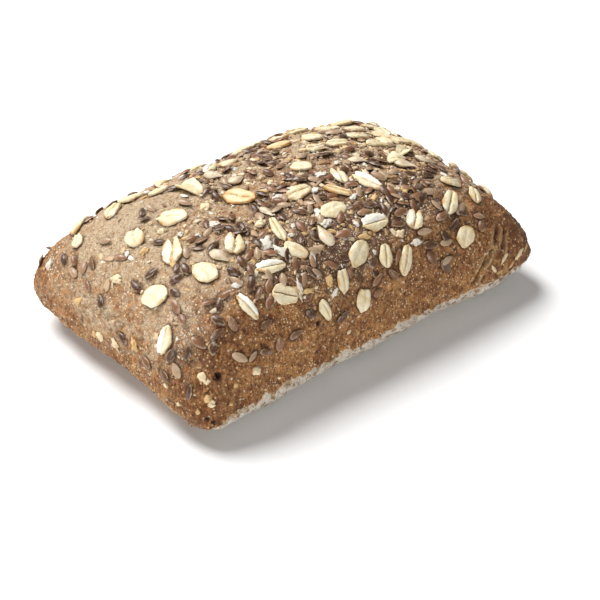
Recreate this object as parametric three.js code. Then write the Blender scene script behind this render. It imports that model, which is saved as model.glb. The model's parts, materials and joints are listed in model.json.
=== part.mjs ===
// A multigrain ciabatta roll: one pillow-shaped loaf that rests on its flat base, with rolled oat flakes
// and sunflower kernels lying on its crust. Millimetres, +Z up, +X along the loaf, origin under its middle.

import * as THREE from 'three';
import { mergeGeometries, mergeVertices } from 'three/addons/utils/BufferGeometryUtils.js';

// Loaf: the size and the outline seen from above
const LENGTH = 130; // between the middles of the two short ends
const WIDTH = 87.4; // between the long sides, before they draw in
const SIDE_PINCH = 0.06; // share of the width lost half way along a long side
const OUTLINE_SQUARENESS = 8.4; // superellipse exponent of the outline
const OUTLINE_FADE = 1.7; // how slowly the rings inside it go back to round

// Loaf: the section
const HEIGHT = 44;
const WAIST = 16.5; // height of the widest line along the sides
const CORNER_WAIST = 10.4; // the same line where it dips to a corner
const CORNER_DIP = 1.4; // how fully the waist comes down at a corner
const DOME_FLATNESS = 2.65; // exponents of the curve from the middle of the top to the waist
const DOME_SHOULDER = 2.18;
const DOME_TILT = [-0.06, -0.043]; // share of the height gained towards +X and towards +Y
const DOME_CORNER_LOSS = 0.22; // share of the height lost over a corner
const BASE_FLAT = 0.61; // share of the half width that lies flat on the table
const BASE_CURVE = 2.24; // exponents of the curve from the flat base up to the waist
const BASE_SHOULDER = 2.09;

// Loaf: how far the dough was pulled out or pushed in at each corner
const CORNERS = [
  { side: [-1, 1], pull: [-2.5, 4], lift: 1.4 },
  { side: [-1, -1], pull: [2.3, -0.4], lift: -0.5 },
  { side: [1, -1], pull: [4.8, 0.2], lift: 0.8 },
  { side: [1, 1], pull: [2, 2], lift: 0 },
];

const LOAF_CELLS = 36; // mesh cells along each side of the top, and as many under it

// Toppings lie on the crust with a hair of air under them
const TOPPING_GAP = 0.3;
const OAT_THICKNESS = 1.1;
const KERNEL_THICKNESS = 0.5; // share of the kernel's width
const TOPPING_SIDES = 12;

// Each topping: [x, y, turn about the crust's normal in degrees, length, width]
const OATS = [
  [-55.5, -11.5, -45, 8.5, 7.4], [-44, -4, 51, 9.6, 6.4], [-43, -18, 94, 9, 6.4],
  [-36, 6.5, -39, 8.4, 6], [-60, -22.5, 16, 7.8, 5], [-47.5, 9.5, 60, 7, 6], [-51, 34, 20, 8.6, 5],
  [-36, 28, -10, 9, 5], [-12, 30, 0, 8, 5], [-24, 14, -80, 9.4, 6.6], [-31, -16.5, 51, 7.6, 5.8],
  [-17.5, -18.5, 80, 10, 3.4], [-27, -28, -21, 8.2, 4.6], [-17.5, -27, -59, 8, 4.8],
  [-28, -35, -27, 8.4, 6.4], [-40, -33.5, -84, 8.4, 4], [-17, -40, -80, 7.2, 3.4],
  [-8.5, -37, 78, 8.2, 3.8], [-3.5, -40.5, 60, 8, 4.4], [-0.5, -34, 34, 8.8, 6.2],
  [8, -36.5, 73, 7, 4], [14, -38.5, 61, 9.2, 4.2], [10.5, -29, -14, 8, 5.8], [1.5, -20.5, 0, 9.2, 6],
  [-2, -9, 0, 8.6, 5.4], [8, 2, -54, 6.6, 5.4], [14, -8.5, 75, 8, 4.8], [19.5, -15.5, -69, 9.4, 4.4],
  [23, -32, 50, 6.6, 5.2], [38.5, -31, 51, 8.2, 5.2], [44.5, -24.5, -25, 7, 4.4],
  [49.5, -30, 60, 7, 4.4], [37.5, -39, 51, 6.8, 6], [51, 14.5, -100, 8, 5], [44, 5.5, -105, 7.8, 4.8],
  [35.5, 9, -25, 8, 5], [23, 15, -30, 7, 5], [43.5, -4.5, 20, 7, 5], [55, 4, -50, 7.6, 5],
  [42, 17, -30, 7, 5], [44, 26.5, -30, 8, 5], [10, 31, -20, 7.2, 5], [30, 34, 35, 8, 5.6],
  [-20, 38.5, 65, 7.6, 5.2],
];
const TOASTED_OATS = [
  [-16.5, 0.5, -54, 10, 6.4], [8.5, -14.5, -47, 9, 3.6], [24, 26, -30, 7, 4.8], [12.5, 18.5, -30, 8, 5],
];
const KERNELS = [
  [-37, -17, -79, 7.2, 3.6], [-7, -27, -94, 8, 4.8], [60, -9, 60, 7, 4.6], [36, -13, -60, 7, 4.8],
  [45.5, -12, -40, 7.4, 4], [20, 8, -40, 6, 3.2], [-11.5, 8.5, 10, 6, 4.4], [-15, 15, -60, 6.4, 4],
  [-15, -10.5, -90, 6, 3], [24, -5, -45, 6.4, 3.6], [57, 26, 80, 7.2, 4.2],
];

// The looks of the crust and of what lies on it
const CRUST = { color: 0x8a6140, roughness: 0.85, metalness: 0 };
const OAT = { color: 0xe8d6a8, roughness: 0.75, metalness: 0 };
const TOASTED_OAT = { color: 0xd9ad62, roughness: 0.7, metalness: 0 };
const KERNEL = { color: 0xb9a184, roughness: 0.55, metalness: 0 };

const UP = new THREE.Vector3(0, 0, 1);
const DOWN = new THREE.Vector3(0, 0, -1);

// One point of the loaf's skin. (u, v) runs from -1 to 1 along and across it; upper picks top or base.
function skinPoint(u, v, upper) {
  const ring = Math.max(Math.abs(u), Math.abs(v));
  const angle = Math.atan2(v, u);
  const squareness = 2 + (OUTLINE_SQUARENESS - 2) * ring ** OUTLINE_FADE;
  const cos = Math.cos(angle);
  const sin = Math.sin(angle);
  const reach = ring / (Math.abs(cos) ** squareness + Math.abs(sin) ** squareness) ** (1 / squareness);
  const along = reach * cos;
  const across = reach * sin;

  const point = new THREE.Vector3(
    along * LENGTH / 2,
    across * WIDTH / 2 * (1 - SIDE_PINCH * (1 - along ** 2)),
    0,
  );
  let waist = WAIST;
  for (const corner of CORNERS) {
    const nearness = ((1 + corner.side[0] * along) * (1 + corner.side[1] * across) / 4) ** 2;
    point.x += nearness * corner.pull[0];
    point.y += nearness * corner.pull[1];
    waist += nearness * CORNER_DIP * (CORNER_WAIST + corner.lift - WAIST);
  }

  if (upper) {
    const tilt = 1 + DOME_TILT[0] * along + DOME_TILT[1] * across;
    const dome = (HEIGHT - waist) * tilt * (1 - DOME_CORNER_LOSS * (along * across) ** 2);
    point.z = waist + dome * (1 - ring ** DOME_FLATNESS) ** (1 / DOME_SHOULDER);
  } else {
    const outside = Math.max(0, (ring - BASE_FLAT) / (1 - BASE_FLAT));
    point.z = waist * (1 - (1 - outside ** BASE_CURVE) ** (1 / BASE_SHOULDER));
  }
  return point;
}

// One half of the loaf's skin: a square sheet whose cells get finer towards the waist
function skinSheet(upper) {
  const sheet = new THREE.PlaneGeometry(2, 2, LOAF_CELLS, LOAF_CELLS);
  const places = sheet.attributes.position;
  for (let i = 0; i < places.count; i++) {
    const u = Math.sin(places.getX(i) * Math.PI / 2);
    const v = Math.sin(places.getY(i) * Math.PI / 2);
    const point = skinPoint(u, v, upper);
    places.setXYZ(i, point.x, point.y, point.z);
  }
  if (!upper) {
    sheet.setIndex([...sheet.index.array].reverse());
  }
  sheet.deleteAttribute('normal');
  sheet.deleteAttribute('uv');
  return sheet;
}

// The loaf, baked as one piece, moved so that its bounding box stands centred on the origin
function makeLoaf() {
  const geometry = mergeVertices(mergeGeometries([skinSheet(true), skinSheet(false)]));
  geometry.computeBoundingBox();
  const middle = geometry.boundingBox.getCenter(new THREE.Vector3());
  geometry.translate(-middle.x, -middle.y, 0);
  geometry.computeVertexNormals();
  const loaf = new THREE.Mesh(geometry, new THREE.MeshStandardMaterial(CRUST));
  loaf.name = 'loaf';
  return loaf;
}

// A rolled oat: a thin oval disc with a rounded rim and a slightly domed top
function oatGeometry(length, width) {
  const profile = [[0, 0], [0.42, 0], [0.5, 0.4], [0.4, 0.85], [0, 1]];
  const points = profile.map(([radius, height]) => new THREE.Vector2(radius, height));
  const oat = new THREE.LatheGeometry(points, TOPPING_SIDES);
  oat.rotateX(Math.PI / 2);
  oat.scale(length, width, OAT_THICKNESS);
  return oat;
}

// A sunflower kernel: a flattened drop, blunt at one end and pointed at the other, lying on its side
function kernelGeometry(length, width) {
  const profile = [[0, -0.5], [0.3, -0.42], [0.48, -0.2], [0.46, 0.05], [0.26, 0.34], [0, 0.5]];
  const points = profile.map(([radius, along]) => new THREE.Vector2(radius, along));
  const kernel = new THREE.LatheGeometry(points, TOPPING_SIDES);
  kernel.rotateZ(-Math.PI / 2);
  kernel.scale(length, width, width * KERNEL_THICKNESS);
  kernel.computeBoundingBox();
  kernel.translate(0, 0, -kernel.boundingBox.min.z);
  return kernel;
}

// Drops a topping onto the crust at (x, y) and lays it along the crust's slope there
function layOnCrust(topping, loaf, x, y, turn) {
  const raycaster = new THREE.Raycaster(new THREE.Vector3(x, y, 2 * HEIGHT), DOWN);
  const hit = raycaster.intersectObject(loaf)[0];
  const slope = new THREE.Quaternion().setFromUnitVectors(UP, hit.face.normal);
  const spin = new THREE.Quaternion().setFromAxisAngle(UP, THREE.MathUtils.degToRad(turn));
  topping.quaternion.copy(slope).multiply(spin);
  topping.position.copy(hit.point).addScaledVector(hit.face.normal, TOPPING_GAP);
}

// All the toppings of one kind, named and numbered in the order of their list
function scatter(bread, loaf, name, places, makeGeometry, look) {
  places.forEach(([x, y, turn, length, width], index) => {
    const topping = new THREE.Mesh(makeGeometry(length, width), new THREE.MeshStandardMaterial(look));
    topping.name = `${name}_${String(index + 1).padStart(2, '0')}`;
    layOnCrust(topping, loaf, x, y, turn);
    bread.add(topping);
  });
}

const bread = new THREE.Group();
const loaf = makeLoaf();
bread.add(loaf);
scatter(bread, loaf, 'oat_flake', OATS, oatGeometry, OAT);
scatter(bread, loaf, 'toasted_oat_flake', TOASTED_OATS, oatGeometry, TOASTED_OAT);
scatter(bread, loaf, 'sunflower_kernel', KERNELS, kernelGeometry, KERNEL);

export default bread;
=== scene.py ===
import json
import math
import random

import bpy
import numpy as np
from mathutils import Matrix, Vector, noise
from mathutils.bvhtree import BVHTree
from mathutils.kdtree import KDTree

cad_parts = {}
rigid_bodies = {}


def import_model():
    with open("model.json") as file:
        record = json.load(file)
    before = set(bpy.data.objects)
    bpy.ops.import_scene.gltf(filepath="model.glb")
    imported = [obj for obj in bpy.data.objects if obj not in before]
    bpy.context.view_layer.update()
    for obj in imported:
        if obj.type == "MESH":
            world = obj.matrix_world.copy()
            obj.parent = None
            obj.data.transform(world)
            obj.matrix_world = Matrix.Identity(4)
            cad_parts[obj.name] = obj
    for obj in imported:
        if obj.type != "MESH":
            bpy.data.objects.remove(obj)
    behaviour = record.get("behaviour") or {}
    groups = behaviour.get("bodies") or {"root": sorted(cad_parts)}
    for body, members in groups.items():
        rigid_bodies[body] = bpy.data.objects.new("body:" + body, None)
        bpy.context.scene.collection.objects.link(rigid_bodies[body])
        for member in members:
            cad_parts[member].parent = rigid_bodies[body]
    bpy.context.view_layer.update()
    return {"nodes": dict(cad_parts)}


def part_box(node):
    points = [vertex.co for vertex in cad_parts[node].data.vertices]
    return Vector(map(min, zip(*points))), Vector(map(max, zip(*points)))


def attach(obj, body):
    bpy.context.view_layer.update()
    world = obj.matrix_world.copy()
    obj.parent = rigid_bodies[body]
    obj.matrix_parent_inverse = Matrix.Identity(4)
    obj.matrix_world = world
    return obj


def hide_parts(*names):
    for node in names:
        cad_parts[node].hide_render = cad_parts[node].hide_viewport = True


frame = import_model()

MM = 0.001


# ---- Loaf: the shape -----------------------------------------------------------------------------
# Wet dough cut to a pillow and baked in one piece, straight on the floured oven floor. The corners
# stay pulled out, the crust sets in blisters and wrinkles, and a ragged lip forms over the base.

CRUST_CELL = 0.6 * MM
BASE_TOP = 0.3 * MM  # up to this height the loaf lies flat on the stone
WAIST_LIFT = 0.45  # how much the bake map spreads the sides out from the top
BASE_LIFT = 0.4  # the same for the base
LOAF_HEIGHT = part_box("loaf")[1].z


def pick_only(piece):
    bpy.ops.object.select_all(action="DESELECT")
    piece.select_set(True)
    bpy.context.view_layer.objects.active = piece


def finish_modifiers(piece):
    pick_only(piece)
    for modifier in list(piece.modifiers):
        bpy.ops.object.modifier_apply(modifier=modifier.name)


def places_of(piece):
    places = np.empty(len(piece.data.vertices) * 3, np.float32)
    piece.data.vertices.foreach_get("co", places)
    return places.reshape(-1, 3).astype(float)


def move_to(piece, places):
    piece.data.vertices.foreach_set("co", places.astype(np.float32).ravel())
    piece.data.update()


def normals_of(piece):
    normals = np.empty(len(piece.data.vertices) * 3, np.float32)
    piece.data.vertices.foreach_get("normal", normals)
    return normals.reshape(-1, 3)


def smooth_step(value, low, high):
    share = np.clip((value - low) / (high - low), 0, 1)
    return share * share * (3 - 2 * share)


bpy.ops.object.select_all(action="DESELECT")
lowest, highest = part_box("loaf")
bpy.ops.mesh.primitive_cube_add(size=1, location=(lowest + highest) / 2, scale=highest - lowest)
loaf = bpy.context.object
loaf.name = "loaf_crust"
bpy.ops.object.transform_apply(location=True, rotation=True, scale=True)
bpy.ops.object.mode_set(mode="EDIT")
bpy.ops.mesh.subdivide(number_cuts=60)
bpy.ops.object.mode_set(mode="OBJECT")

wrap = loaf.modifiers.new("wrap", "SHRINKWRAP")
wrap.target = frame["nodes"]["loaf"]
even = loaf.modifiers.new("even", "REMESH")
even.mode = "VOXEL"
even.voxel_size = CRUST_CELL
even.use_smooth_shade = True
relax = loaf.modifiers.new("relax", "SMOOTH")
relax.factor = 0.5
relax.iterations = 6
finish_modifiers(loaf)

# The base is nearly flat, so it needs fewer faces than the crust
bpy.ops.object.mode_set(mode="EDIT")
bpy.ops.mesh.select_all(action="DESELECT")
bpy.ops.object.mode_set(mode="OBJECT")
for face in loaf.data.polygons:
    face.select = face.center.z < BASE_TOP
bpy.ops.object.mode_set(mode="EDIT")
bpy.ops.mesh.select_mode(type="FACE")
bpy.ops.mesh.decimate(ratio=0.05)
bpy.ops.object.mode_set(mode="OBJECT")

# The crust above the table rises and wrinkles; the base stays flat where it was baked on the stone
risen = loaf.vertex_groups.new(name="risen")
freedom = smooth_step(places_of(loaf)[:, 2], BASE_TOP, 3.5 * MM)
for step in range(1, 11):
    members = np.flatnonzero(np.round(freedom * 10) == step)
    risen.add(members.tolist(), step / 10, "REPLACE")

face_normals = np.empty(len(loaf.data.polygons) * 3, np.float32)
loaf.data.polygons.foreach_get("normal", face_normals)
upper_side = face_normals.reshape(-1, 3)[:, 2] > 0


def swell(name, kind, grain, strength, **settings):
    """Raises and sinks the risen crust by a noise pattern: grain is its size, strength its height."""
    texture = bpy.data.textures.new(name, kind)
    texture.noise_scale = grain
    for key, value in settings.items():
        setattr(texture, key, value)
    modifier = loaf.modifiers.new(name, "DISPLACE")
    modifier.texture = texture
    modifier.texture_coords = "LOCAL"
    modifier.strength = strength
    modifier.mid_level = 0.5
    modifier.vertex_group = "risen"


swell("lumps", "CLOUDS", 16 * MM, 2.2 * MM, noise_depth=1)
swell("wrinkles", "CLOUDS", 5 * MM, 1.0 * MM, noise_depth=2)
swell("blisters", "STUCCI", 1.8 * MM, 0.7 * MM, stucci_type="WALL_OUT", turbulence=8)
swell("grain", "CLOUDS", 1.1 * MM, 0.5 * MM, noise_depth=1)
finish_modifiers(loaf)

# The corners were stretched as the dough was lifted: [where, how far round it, the pull], all in mm
CORNER_PULLS = [
    [(-66, 43, 13), 10, (-0.9, 0.6, 0.6)],
    [(-63, -43, 7), 9, (0.6, -1.8, -0.8)],
    [(44, 28, 36), 13, (0, 0, -1.4)],
    [(66, -44, 9), 7, (0.9, -0.4, -0.6)],
    [(66, 43, 10), 9, (0.8, 0.8, 0)],
]


def pull_corners(piece):
    places = places_of(piece)
    for corner, reach, pull in CORNER_PULLS:
        away = np.linalg.norm(places - np.array(corner) * MM, axis=1)
        places += np.exp(-(away / (reach * MM)) ** 2)[:, None] * np.array(pull) * MM
    places[:, 2] = np.maximum(places[:, 2], 0)
    move_to(piece, places)


pull_corners(loaf)

# Folds where the dough was pulled out at the corners: [from, to, half width, depth], all in mm
FOLDS = [
    [(53, -39, 27), (37, -43.5, 10), 0.8, 1.9],
    [(55, -39, 25), (50, -43, 17), 0.7, 1.2],
    [(62, -38, 20), (48, -43.5, 8), 0.7, 1.7],
    [(64, -37, 18), (60, -42, 12), 0.6, 0.9],
    [(67, -32, 13), (58, -43, 7), 0.6, 1.2],
    [(-66, 36, 9), (-62, 24, 22), 1.1, 0.9],
    [(-67, 20, 7), (-66, -12, 6), 0.7, 1.4],
    [(-67, -8, 8.5), (-62, -40, 6), 0.7, 1.7],
    [(-67, -24, 5.5), (-60, -43, 4.5), 0.6, 1.3],
    [(-67, -14, 12), (-64, -34, 10), 0.6, 1.0],
    [(-56, -43, 8), (-50, -39, 24), 1.1, 0.5],
    [(60, 42, 8), (52, 36, 28), 1.1, 1.2],
    [(-56, 43, 8), (-50, 38, 26), 1.0, 1.0],
]
FOLD_WANDER = 1.5 * MM  # how far a fold strays up and down from its straight line


def press_folds(piece, folds):
    """Presses each fold in, with a crest beside it. Gives how deep and how crested each point is."""
    places = places_of(piece)
    push, groove, crest = np.zeros((3, len(places)))
    for start, end, half_width, depth in folds:
        start, end = np.array(start) * MM, np.array(end) * MM
        line = end - start
        share = np.clip((places - start) @ line / (line @ line), 0, 1)
        nearest = start + share[:, None] * line
        nearest[:, 2] += FOLD_WANDER * np.sin(share * 5 + start[0] * 900) * np.sin(share * math.pi)
        gap = np.linalg.norm((places - nearest) * [1, 1, 0.6], axis=1)
        fade = np.sin(np.clip(share, 0.02, 0.98) * math.pi) ** 0.9
        sunk = fade * np.exp(-(gap / (half_width * MM)) ** 2)
        raised = fade * np.exp(-((gap - 1.9 * half_width * MM) / (0.6 * half_width * MM)) ** 2)
        push += depth * MM * (sunk - 0.5 * raised)
        groove = np.maximum(groove, sunk * min(depth / 2, 1))
        crest = np.maximum(crest, raised * min(depth / 2, 1))
    places -= normals_of(piece) * (push * smooth_step(places[:, 2], 2 * MM, 5 * MM))[:, None]
    move_to(piece, places)
    return groove, crest


grooves, crests = press_folds(loaf, FOLDS)

# Pits where a bubble burst or a seed fell out: [x, y, z, radius, depth] in mm
PITS = [
    [-55.4, -39.7, 21.4, 1.2, 1.8], [-60.5, -41.5, 10, 0.7, 0.9], [-58.5, -42, 8.5, 0.7, 0.9],
    [-20, -41, 24, 0.7, 0.9], [12, -41, 20, 0.6, 0.8], [-66, -20, 17, 0.7, 0.9], [-66, 12, 16, 0.6, 0.8],
    [-10, 43, 20, 0.9, 1.1], [30, 42, 24, 0.8, 1.0], [66, 6, 18, 0.8, 1.0], [-40, 44, 15, 0.7, 0.9],
]


def press_pits(piece):
    places = places_of(piece)
    outward = normals_of(piece)
    in_pit = np.zeros(len(places))
    for x, y, z, radius, depth in PITS:
        away = np.linalg.norm(places - np.array((x, y, z)) * MM, axis=1)
        away = np.linalg.norm(places - places[np.argmin(away)], axis=1) / (radius * MM)
        places -= outward * (depth * MM * np.exp(-away ** 4))[:, None]
        in_pit = np.maximum(in_pit, np.exp(-away ** 6))
    move_to(piece, places)
    return in_pit


pit_shade = press_pits(loaf)

# The ragged lip: the crust overhangs the floury base by a hair, along a line that wanders
LIP_HEIGHT = 3.6 * MM
LIP_RISE = 6.3 * MM  # how much higher the line runs along the front


def lip_line(x, y):
    """Height of the edge between crust and floury base, which wanders round the loaf."""
    broad = noise.noise(Vector((x * 45, y * 45, 3.0)))
    fine = noise.noise(Vector((x * 300, y * 300, 9.0)))
    front = min(max((-y - 30 * MM) / (12 * MM), 0), 1) * min(max((x + 62 * MM) / (8 * MM), 0), 1)
    nick = noise.noise(Vector((x * 900, y * 900, 5.0)))
    return LIP_HEIGHT + LIP_RISE * front + 2.6 * MM * broad + 2.0 * MM * fine + 1.2 * MM * nick


def press_lip(piece):
    """Bulges the crust out above the lip line and draws it in below. Gives the line's heights."""
    places = places_of(piece)
    heights = np.full(len(places), LIP_HEIGHT)
    for i in np.flatnonzero((places[:, 2] < 14 * MM) & (places[:, 2] > 0.4 * MM)):
        heights[i] = lip_line(places[i, 0], places[i, 1])
    under = places[:, 2] - heights
    outward = places * [1, 1, 0]
    outward /= np.maximum(np.linalg.norm(outward, axis=1), MM)[:, None]
    groove = 1.1 * MM * np.exp(-((under + 0.9 * MM) / (0.8 * MM)) ** 2)
    bulge = 0.5 * MM * np.exp(-((under - 0.7 * MM) / (0.7 * MM)) ** 2)
    places += outward * (bulge - groove)[:, None]
    places[:, 2] = np.maximum(places[:, 2], 0)
    move_to(piece, places)
    return heights


lip_heights = press_lip(loaf)

# Bake map: the upper skin spread out flat from the top, and the base beside it
sheet = loaf.data.uv_layers.new(name="OFBake")
corners = np.empty(len(loaf.data.loops), np.int64)
loaf.data.loops.foreach_get("vertex_index", corners)
of_upper = np.repeat(upper_side, [len(p.vertices) for p in loaf.data.polygons])
at = places_of(loaf)[corners]
rise = at[:, 2] / LOAF_HEIGHT
spread = np.where(of_upper, 1 + WAIST_LIFT * (1 - rise), 1 + BASE_LIFT * rise)
flat = at[:, :2] * spread[:, None]
UPPER_SCALE, BASE_SCALE = 5.5, 3.3  # share of the map per metre
upper_map = flat * UPPER_SCALE + [0.5, 0.67]
base_map = flat * [-BASE_SCALE, BASE_SCALE] + [0.5, 0.165]
bake_map = np.where(of_upper[:, None], upper_map, base_map)
sheet.data.foreach_set("uv", bake_map.astype(np.float32).ravel())

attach(loaf, "root")
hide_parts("loaf")


# ---- Loaf: the crust's colours ---------------------------------------------------------------------
# Golden to deep brown where the oven caught it, flecked with bran and malt grain, and dusted with
# flour: thinly over the top, thickest at the left end, and caked on all round the base. Painted shade
# darkens its hollows, pits and fold grooves and lies round the toppings as a contact shadow; painted
# highlights pale its crests, and some cream grains serve as painted glints.

CRUST_BROWN = (0.205, 0.070, 0.020, 1)
CRUST_GOLD = (0.60, 0.295, 0.105, 1)
CRUST_DARK_AND_SHADE = (0.065, 0.026, 0.010, 1)
BRAN_GOLD_AND_HIGHLIGHT = (0.80, 0.55, 0.27, 1)
BRAN_CREAM = (0.86, 0.74, 0.53, 1)
DUST_TAN = (0.62, 0.47, 0.31, 1)
SEED_BED_BROWN = (0.17, 0.095, 0.055, 1)
DUST_SHADE = (0.42, 0.29, 0.165, 1)
FLOUR = (0.82, 0.75, 0.65, 1)
GRAIN_AND_GLINT_CREAM = (0.85, 0.71, 0.49, 1)
PIT_SHADE = (0.012, 0.006, 0.004, 1)
BASE_FLOUR = (0.82, 0.75, 0.64, 1)
BASE_BARE = (0.36, 0.23, 0.13, 1)


def float_attribute(piece, name, values):
    attribute = piece.data.attributes.new(name, "FLOAT", "POINT")
    attribute.data.foreach_set("value", np.asarray(values, np.float32))


def new_material(name):
    material = bpy.data.materials.new(name)
    material.use_nodes = True
    return material, material.node_tree.nodes["Principled BSDF"]


def fill(material, made, inputs):
    """Fills a node's inputs, each with a value or with another node's output."""
    for name, value in dict(inputs).items():
        if isinstance(value, bpy.types.NodeSocket):
            material.node_tree.links.new(value, made.inputs[name])
        else:
            made.inputs[name].default_value = value


def node(material, kind, inputs=(), **settings):
    made = material.node_tree.nodes.new(kind)
    for key, value in settings.items():
        setattr(made, key, value)
    fill(material, made, inputs)
    return made


def place_on(material):
    """Where a point lies on the object, in metres: every pattern here is read from it."""
    return node(material, "ShaderNodeTexCoord").outputs["Object"]


def relief(material, height, strength, depth):
    inputs = {"Height": height, "Strength": strength, "Distance": depth}
    return node(material, "ShaderNodeBump", inputs).outputs["Normal"]


def speckle_noise(material, where, scale, detail=3, roughness=0.6):
    inputs = {"Vector": where, "Scale": scale, "Detail": detail, "Roughness": roughness}
    return node(material, "ShaderNodeTexNoise", inputs).outputs["Fac"]


def limit(material, value, low, high):
    """0 below low, 1 above high, and a smooth rise between them; it falls if low is above high."""
    inputs = {"Value": value, "From Min": low, "From Max": high}
    return node(material, "ShaderNodeMapRange", inputs, interpolation_type="SMOOTHSTEP").outputs["Result"]


def reckon(material, operation, a, b):
    return node(material, "ShaderNodeMath", {0: a, 1: b}, operation=operation).outputs[0]


def tint(material, share, under, over):
    made = node(material, "ShaderNodeMix", {"Factor": share}, data_type="RGBA")
    a = [s for s in made.inputs if s.name == "A" and s.type == "RGBA"][0]
    b = [s for s in made.inputs if s.name == "B" and s.type == "RGBA"][0]
    for socket, value in ((a, under), (b, over)):
        if isinstance(value, bpy.types.NodeSocket):
            material.node_tree.links.new(value, socket)
        else:
            socket.default_value = value
    return [s for s in made.outputs if s.type == "RGBA"][0]


def wash(material, share, strength, under, over):
    """Tints as far as share says, but never by more than strength."""
    return tint(material, reckon(material, "MULTIPLY", share, strength), under, over)


def attribute_of(material, name, output="Fac"):
    return node(material, "ShaderNodeAttribute", attribute_name=name).outputs[output]


def grains(material, where, scale, size, share):
    """Round grains: 1 inside a grain and 0 between them. share is how many of the cells hold one."""
    cells = node(material, "ShaderNodeTexVoronoi", {"Vector": where, "Scale": scale})
    lot = node(material, "ShaderNodeSeparateColor", {0: cells.outputs["Color"]}).outputs[0]
    chosen = limit(material, lot, 1 - share, 1 - share + 0.02)
    round_spot = limit(material, cells.outputs["Distance"], size, size * 0.6)
    return reckon(material, "MULTIPLY", chosen, round_spot)


# Where fine flour lies as a film, where coarser white grains lie among the seeds, and where the
# oven browned the corners: [x, y, reach along, reach across, strength], all but the last in mm
FILMS = [
    [-46, 14, 20, 26, 1.0], [-60, 14, 10, 20, 0.6], [-42, -12, 16, 12, 0.9], [-20, 16, 26, 16, 1.0],
    [-56, -18, 12, 13, 0.7], [-34, -25, 14, 7, 0.7], [-66, 4, 7, 30, 0.65], [-30, 38, 30, 14, 0.6],
    [0, -2, 26, 12, 0.5], [34, 2, 22, 16, 0.75],
    [22, 34, 38, 16, 1.0], [4, 16, 32, 16, 1.0], [38, 10, 16, 14, 0.9],
]
GRAINS = [
    [-4, -27, 26, 11, 1.0], [22, -23, 20, 11, 1.0], [6, -10, 28, 12, 0.85], [46, -20, 12, 12, 0.35],
    [-56, -26, 9, 12, 0.4], [26, 4, 20, 12, 0.6], [-16, -14, 14, 10, 0.7],
]
BROWNED = [
    [-58, -40, 15, 13, 1.3], [60, -40, 14, 13, 1.5], [64, 36, 9, 12, 0.7], [-64, 38, 8, 9, 0.5],
    [66, -14, 8, 34, 0.6],
]
skin = places_of(loaf) / MM


def spread_over(areas, low, high):
    """How far each point of the crust lies in the areas, for what starts between the heights given."""
    cover = np.zeros(len(skin))
    for x, y, along, across, strength in areas:
        reach = ((skin[:, 0] - x) / along) ** 2 + ((skin[:, 1] - y) / across) ** 2
        cover = np.maximum(cover, strength * np.exp(-reach))
    return cover * smooth_step(skin[:, 2], low, high)


grain_cover = spread_over(GRAINS, 5, 22)
thin_film = 0.66 * smooth_step(skin[:, 2], 22, 34) * (1 - 0.85 * grain_cover)
thin_film *= smooth_step(skin[:, 1], -40, -22)
float_attribute(loaf, "film", np.maximum(spread_over(FILMS, 5, 22), thin_film))
float_attribute(loaf, "grains", grain_cover)
float_attribute(loaf, "browned", spread_over(BROWNED, -1, 0))
float_attribute(loaf, "pit_shade", np.maximum(pit_shade, 0.4 * grooves))
float_attribute(loaf, "crest", crests)
float_attribute(loaf, "above_lip", np.clip((skin[:, 2] - lip_heights / MM) / 4, -1, 1))

crust_look, crust_shader = new_material("crust")
where = place_on(crust_look)
film = attribute_of(crust_look, "film")
grainy = attribute_of(crust_look, "grains")
above_lip = attribute_of(crust_look, "above_lip")


def times(a, b):
    return reckon(crust_look, "MULTIPLY", a, b)


def plus(a, b):
    return reckon(crust_look, "ADD", a, b)


def less(a, b):
    return reckon(crust_look, "SUBTRACT", a, b)


def coat(under, share, strength, over):
    return wash(crust_look, share, strength, under, over)


def cloud_of(scale, detail, low, high):
    return limit(crust_look, speckle_noise(crust_look, where, scale, detail), low, high)


# The skin of the sides was stretched upwards as the loaf rose, so its fine mottle runs up and down
stretched = node(crust_look, "ShaderNodeMapping", {"Vector": where, "Scale": (1, 1, 0.4)}).outputs["Vector"]
mottle = limit(crust_look, speckle_noise(crust_look, stretched, 1200, 2), 0.42, 0.58)
browning = plus(times(cloud_of(75, 4, 0.3, 0.7), 0.35), times(mottle, 0.5))
browning = plus(browning, times(cloud_of(300, 4, 0.35, 0.65), 0.42))
browned = attribute_of(crust_look, "browned")
browning = less(browning, plus(times(browned, 0.35), 0.08))
colour = tint(crust_look, browning, CRUST_BROWN, CRUST_GOLD)
colour = coat(colour, cloud_of(800, 3, 0.56, 0.65), 0.8, CRUST_DARK_AND_SHADE)
colour = coat(colour, cloud_of(1900, 2, 0.54, 0.62), 0.55, CRUST_DARK_AND_SHADE)

# Among the seeds the crust is darker brown
seedy = limit(crust_look, plus(grainy, times(cloud_of(260, 4, 0.3, 0.7), 0.4)), 0.38, 0.85)
colour = coat(colour, seedy, 0.85, SEED_BED_BROWN)

# The film of fine flour, with a patchy edge
tan = tint(crust_look, cloud_of(1500, 2, 0.36, 0.56), DUST_SHADE, DUST_TAN)
patchy = times(less(cloud_of(400, 4, 0.3, 0.7), 0.5), 0.5)
film_cover = limit(crust_look, plus(film, patchy), 0.15, 0.85)
colour = tint(crust_look, film_cover, colour, tan)

# Bran and malt show through the film faintly, and the largest malt grains lie on top of it
bare = less(1.0, times(film_cover, 0.65))
bran = grains(crust_look, where, 900, 0.34, 0.16)
colour = coat(colour, times(bran, bare), 0.7, CRUST_BROWN)
fine_malt = grains(crust_look, where, 1100, 0.40, 0.24)
colour = coat(colour, times(fine_malt, bare), 0.9, BRAN_GOLD_AND_HIGHLIGHT)
malt = grains(crust_look, where, 700, 0.34, 0.12)
colour = coat(colour, malt, 0.8, BRAN_CREAM)
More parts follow.
